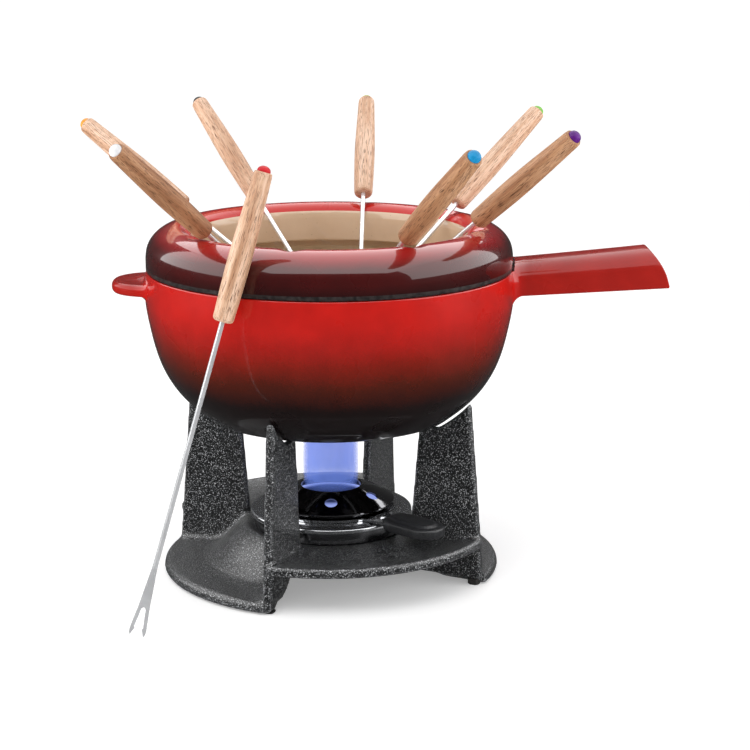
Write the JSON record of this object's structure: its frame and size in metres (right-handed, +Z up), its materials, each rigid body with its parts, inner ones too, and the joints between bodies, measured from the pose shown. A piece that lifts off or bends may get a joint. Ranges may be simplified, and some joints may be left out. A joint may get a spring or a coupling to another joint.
{
  "type": "fondue pot set",
  "caption": "Fondue set: round enamelled iron pot with arched handle, fork-rest ring, wood-handled forks, four-bladed cast stand and paste burner with regulator.",
  "frame": {"origin": "on the table, on the upright axis shared by the stand, burner and pot", "axes": "+X along the pot's long handle, -Y towards the front, +Z up"},
  "size_m": [0.3769, 0.3153, 0.292],
  "materials": {
    "cast_stand": "coarse matte black coating over sand-cast iron",
    "glide_pads": "matte",
    "burner_metal": "bright chrome plate on steel sheet",
    "tin_metal": "dull tinplate",
    "fuel_gel": "cloudy gel",
    "grip_plastic": "fine-textured black moulding",
    "pot_enamel": "glossy vitreous enamel on cast iron, red shading to near black at the base, beige inside",
    "ring_enamel": "glossy dark red vitreous enamel, beige inside",
    "fork_steel": "polished stainless",
    "beech": "oiled light hardwood with open pores",
    "cap_blue": "glossy moulded plastic",
    "cap_purple": "glossy moulded plastic",
    "cap_green": "glossy moulded plastic",
    "cap_yellow": "glossy moulded plastic",
    "cap_black": "glossy moulded plastic",
    "cap_orange": "glossy moulded plastic",
    "cap_white": "glossy moulded plastic",
    "cap_red": "glossy moulded plastic"
  },
  "bodies": {
    "stand": {"stand_casting": "cast_stand", "stand_glides": "glide_pads"},
    "burner": {"burner_base": "burner_metal", "fuel_tin": "tin_metal", "fuel_paste": "fuel_gel", "burner_plate": "burner_metal", "burner_dome": "burner_metal"},
    "regulator": {"regulator_ring": "burner_metal", "regulator_grip": "grip_plastic"},
    "pot": {"pot_casting": "pot_enamel", "pot_handle": "pot_enamel"},
    "ring": {"fork_rest_ring": "ring_enamel"},
    "fork_blue": {"fork_rod_blue": "fork_steel", "fork_handle_blue": "beech", "fork_cap_blue": "cap_blue"},
    "fork_purple": {"fork_rod_purple": "fork_steel", "fork_handle_purple": "beech", "fork_cap_purple": "cap_purple"},
    "fork_green": {"fork_rod_green": "fork_steel", "fork_handle_green": "beech", "fork_cap_green": "cap_green"},
    "fork_yellow": {"fork_rod_yellow": "fork_steel", "fork_handle_yellow": "beech", "fork_cap_yellow": "cap_yellow"},
    "fork_black": {"fork_rod_black": "fork_steel", "fork_handle_black": "beech", "fork_cap_black": "cap_black"},
    "fork_orange": {"fork_rod_orange": "fork_steel", "fork_handle_orange": "beech", "fork_cap_orange": "cap_orange"},
    "fork_white": {"fork_rod_white": "fork_steel", "fork_handle_white": "beech", "fork_cap_white": "cap_white"},
    "fork_red": {"fork_rod_red": "fork_steel", "fork_handle_red": "beech", "fork_cap_red": "cap_red"}
  },
  "joints": [
    {"name": "burner_lift", "type": "slide", "parent": "stand", "child": "burner", "axis": [0, 0, 1], "range_m": [0, 0.04]},
    {"name": "regulator_turn", "type": "hinge", "parent": "burner", "child": "regulator", "pos_m": [0, 0, 0.041], "axis": [0, 0, 1], "range_deg": [-45, 4]},
    {"name": "pot_lift", "type": "slide", "parent": "stand", "child": "pot", "axis": [0, 0, 1], "range_m": [0, 0.12]},
    {"name": "ring_lift", "type": "slide", "parent": "pot", "child": "ring", "axis": [0, 0, 1], "range_m": [0, 0.08]},
    {"name": "fork_blue_draw", "type": "slide", "parent": "ring", "child": "fork_blue", "axis": [0.388, -0.6859, 0.6157], "range_m": [0, 0.13]},
    {"name": "fork_purple_draw", "type": "slide", "parent": "ring", "child": "fork_purple", "axis": [0.5918, -0.5054, 0.628], "range_m": [0, 0.13]},
    {"name": "fork_green_draw", "type": "slide", "parent": "ring", "child": "fork_green", "axis": [0.6291, 0.4655, 0.6225], "range_m": [0, 0.13]},
    {"name": "fork_yellow_draw", "type": "slide", "parent": "ring", "child": "fork_yellow", "axis": [0.0407, 0.7761, 0.6293], "range_m": [0, 0.13]},
    {"name": "fork_black_draw", "type": "slide", "parent": "ring", "child": "fork_black", "axis": [-0.4536, 0.6243, 0.6361], "range_m": [0, 0.13]},
    {"name": "fork_orange_draw", "type": "slide", "parent": "ring", "child": "fork_orange", "axis": [-0.7335, 0.4066, 0.5446], "range_m": [0, 0.13]},
    {"name": "fork_white_draw", "type": "slide", "parent": "ring", "child": "fork_white", "axis": [-0.517, -0.5947, 0.6157], "range_m": [0, 0.13]},
    {"name": "fork_red_draw", "type": "slide", "parent": "ring", "child": "fork_red", "axis": [0.2745, 0.1208, 0.954], "range_m": [0, 0.13]}
  ]
}
